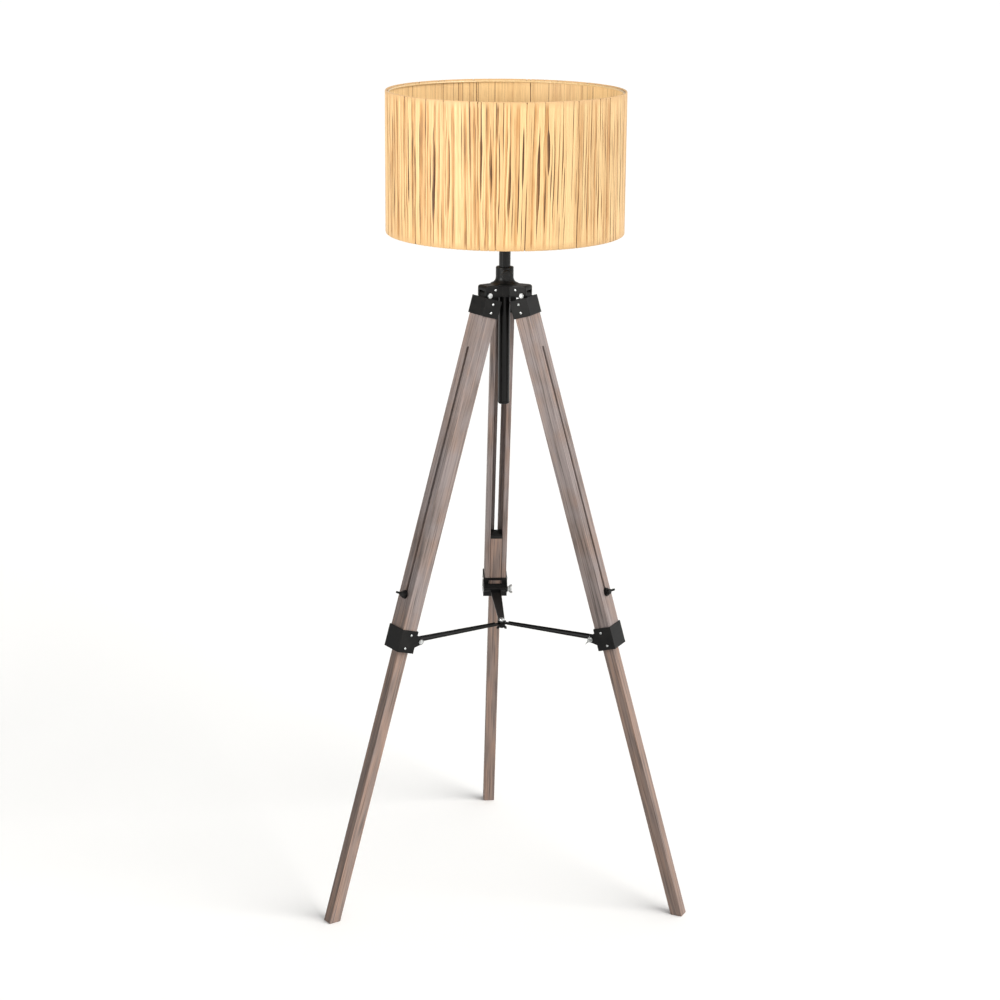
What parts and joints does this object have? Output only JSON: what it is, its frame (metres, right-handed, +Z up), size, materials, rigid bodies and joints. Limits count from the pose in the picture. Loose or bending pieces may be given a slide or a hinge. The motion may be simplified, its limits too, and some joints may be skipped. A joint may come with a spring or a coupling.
{
  "type": "tripod floor lamp",
  "caption": "Tripod floor lamp with a raffia drum shade on a sliding column, telescopic wooden legs with lock knobs, black metal head and collars, and a folding brace.",
  "frame": {"origin": "on the floor, under the centre of the lamp's bounding box", "axes": "+Z up along the column; +Y towards the foot of the back leg; +X to the right, seen from the front"},
  "size_m": [0.7082, 0.6273, 1.58],
  "materials": {
    "wood": "weathered grey-brown solid wood, open grain, matt",
    "cast_iron_black": "cast head, satin black paint",
    "sheet_black": "bent sheet steel, satin black powder coat",
    "tube_black": "steel tube, satin black powder coat",
    "plastic_black": "moulded black plastic",
    "zinc": "bright zinc plated steel fasteners",
    "raffia": "natural raffia strands laid side by side",
    "shade_wire": "off-white coated wire",
    "lamp_metal": "pressed aluminium screw base",
    "opal_glass": "opal white bulb glass"
  },
  "bodies": {
    "head": {"head_casting": "cast_iron_black", "pivot_bolt_back": "zinc", "pivot_nut_back": "zinc", "pivot_bolt_left": "zinc", "pivot_nut_left": "zinc", "pivot_bolt_right": "zinc", "pivot_nut_right": "zinc"},
    "clamp_knob": {"column_clamp_knob": "plastic_black"},
    "column": {"column_tube": "tube_black", "cord_bush": "plastic_black", "lampholder_cap": "plastic_black", "lampholder_body": "plastic_black", "shade_ring_nut": "plastic_black", "shade_bottom_frame": "shade_wire", "shade_top_ring": "shade_wire", "shade_drum": "raffia", "bulb_base": "lamp_metal", "bulb_glass": "opal_glass"},
    "leg_back": {"leg_cap_back": "sheet_black", "upper_leg_back": "wood", "collar_back": "sheet_black", "brace_bolt_back": "zinc"},
    "lower_leg_back": {"lower_leg_back": "wood", "lower_leg_cap_back": "plastic_black", "lock_washer_back": "sheet_black"},
    "lock_knob_back": {"lock_knob_back": "plastic_black"},
    "brace_wing_nut_back": {"brace_wing_nut_back": "zinc"},
    "brace_arm_back": {"brace_arm_back": "sheet_black", "hub_bolt": "zinc"},
    "leg_left": {"leg_cap_left": "sheet_black", "upper_leg_left": "wood", "collar_left": "sheet_black", "brace_bolt_left": "zinc"},
    "lower_leg_left": {"lower_leg_left": "wood", "lower_leg_cap_left": "plastic_black", "lock_washer_left": "sheet_black"},
    "lock_knob_left": {"lock_knob_left": "plastic_black"},
    "brace_wing_nut_left": {"brace_wing_nut_left": "zinc"},
    "brace_arm_left": {"brace_arm_left": "sheet_black"},
    "leg_right": {"leg_cap_right": "sheet_black", "upper_leg_right": "wood", "collar_right": "sheet_black", "brace_bolt_right": "zinc"},
    "lower_leg_right": {"lower_leg_right": "wood", "lower_leg_cap_right": "plastic_black", "lock_washer_right": "sheet_black"},
    "lock_knob_right": {"lock_knob_right": "plastic_black"},
    "brace_wing_nut_right": {"brace_wing_nut_right": "zinc"},
    "brace_arm_right": {"brace_arm_right": "sheet_black"},
    "hub_wing_nut": {"hub_wing_nut": "sheet_black"}
  },
  "joints": [
    {"name": "column_height", "type": "slide", "parent": "head", "child": "column", "axis": [0, 0, 1], "range_m": [-0.035, 0.15]},
    {"name": "column_clamp_turn", "type": "hinge", "parent": "head", "child": "clamp_knob", "pos_m": [0, -0.08876, 1.236], "axis": [0.1219, -0.9925, 0], "continuous": true},
    {"name": "legs_fold", "type": "hinge", "parent": "head", "child": "leg_back", "pos_m": [0, -0.04476, 1.199], "axis": [-1, 0, 0], "range_deg": [0, 13.5]},
    {"name": "leg_fold_left", "type": "hinge", "parent": "head", "child": "leg_left", "pos_m": [-0.0381, -0.11076, 1.199], "axis": [0.5, -0.866, 0], "range_deg": [0, 13.5]},
    {"name": "leg_fold_right", "type": "hinge", "parent": "head", "child": "leg_right", "pos_m": [0.0381, -0.11076, 1.199], "axis": [0.5, 0.866, 0], "range_deg": [0, 13.5]},
    {"name": "brace_arm_fold_back", "type": "hinge", "parent": "leg_back", "child": "brace_arm_back", "pos_m": [0, 0.11343, 0.543], "axis": [-1, 0, 0], "range_deg": [0, 63.45]},
    {"name": "brace_arm_fold_left", "type": "hinge", "parent": "leg_left", "child": "brace_arm_left", "pos_m": [-0.1751, -0.18985, 0.543], "axis": [0.5, -0.866, 0], "range_deg": [0, 13.5]},
    {"name": "brace_arm_fold_right", "type": "hinge", "parent": "leg_right", "child": "brace_arm_right", "pos_m": [0.1751, -0.18985, 0.543], "axis": [0.5, 0.866, 0], "range_deg": [0, 45.9]},
    {"name": "leg_length_back", "type": "slide", "parent": "leg_back", "child": "lower_leg_back", "axis": [0, -0.2858, 0.9583], "range_m": [0, 0.47]},
    {"name": "lock_knob_turn_back", "type": "hinge", "parent": "lower_leg_back", "child": "lock_knob_back", "pos_m": [0, 0.13345, 0.63543], "axis": [0, 0.9583, 0.2858], "continuous": true},
    {"name": "brace_wing_nut_turn_back", "type": "hinge", "parent": "leg_back", "child": "brace_wing_nut_back", "pos_m": [0.0246, 0.11343, 0.543], "axis": [1, 0, 0], "continuous": true},
    {"name": "leg_length_left", "type": "slide", "parent": "leg_left", "child": "lower_leg_left", "axis": [0.2475, 0.1429, 0.9583], "range_m": [0, 0.47]},
    {"name": "lock_knob_turn_left", "type": "hinge", "parent": "lower_leg_left", "child": "lock_knob_left", "pos_m": [-0.19244, -0.19986, 0.63543], "axis": [-0.8299, -0.4791, 0.2858], "continuous": true},
    {"name": "brace_wing_nut_turn_left", "type": "hinge", "parent": "leg_left", "child": "brace_wing_nut_left", "pos_m": [-0.1874, -0.16855, 0.543], "axis": [-0.5, 0.866, 0], "continuous": true},
    {"name": "leg_length_right", "type": "slide", "parent": "leg_right", "child": "lower_leg_right", "axis": [-0.2475, 0.1429, 0.9583], "range_m": [0, 0.47]},
    {"name": "lock_knob_turn_right", "type": "hinge", "parent": "lower_leg_right", "child": "lock_knob_right", "pos_m": [0.19244, -0.19986, 0.63543], "axis": [0.8299, -0.4791, 0.2858], "continuous": true},
    {"name": "brace_wing_nut_turn_right", "type": "hinge", "parent": "leg_right", "child": "brace_wing_nut_right", "pos_m": [0.1628, -0.21116, 0.543], "axis": [-0.5, -0.866, 0], "continuous": true},
    {"name": "hub_wing_nut_turn", "type": "hinge", "parent": "brace_arm_left", "child": "hub_wing_nut", "pos_m": [-0.00006, -0.08879, 0.5356], "axis": [-0.0099, -0.0057, -0.9999], "continuous": true}
  ],
  "couplings": [
    {"joint": "leg_fold_left", "follows": "legs_fold", "ratio": 1},
    {"joint": "leg_fold_right", "follows": "legs_fold", "ratio": 1},
    {"joint": "brace_arm_fold_back", "follows": "legs_fold", "ratio": 4.7},
    {"joint": "brace_arm_fold_left", "follows": "legs_fold", "ratio": 1},
    {"joint": "brace_arm_fold_right", "follows": "legs_fold", "ratio": 3.4}
  ]
}
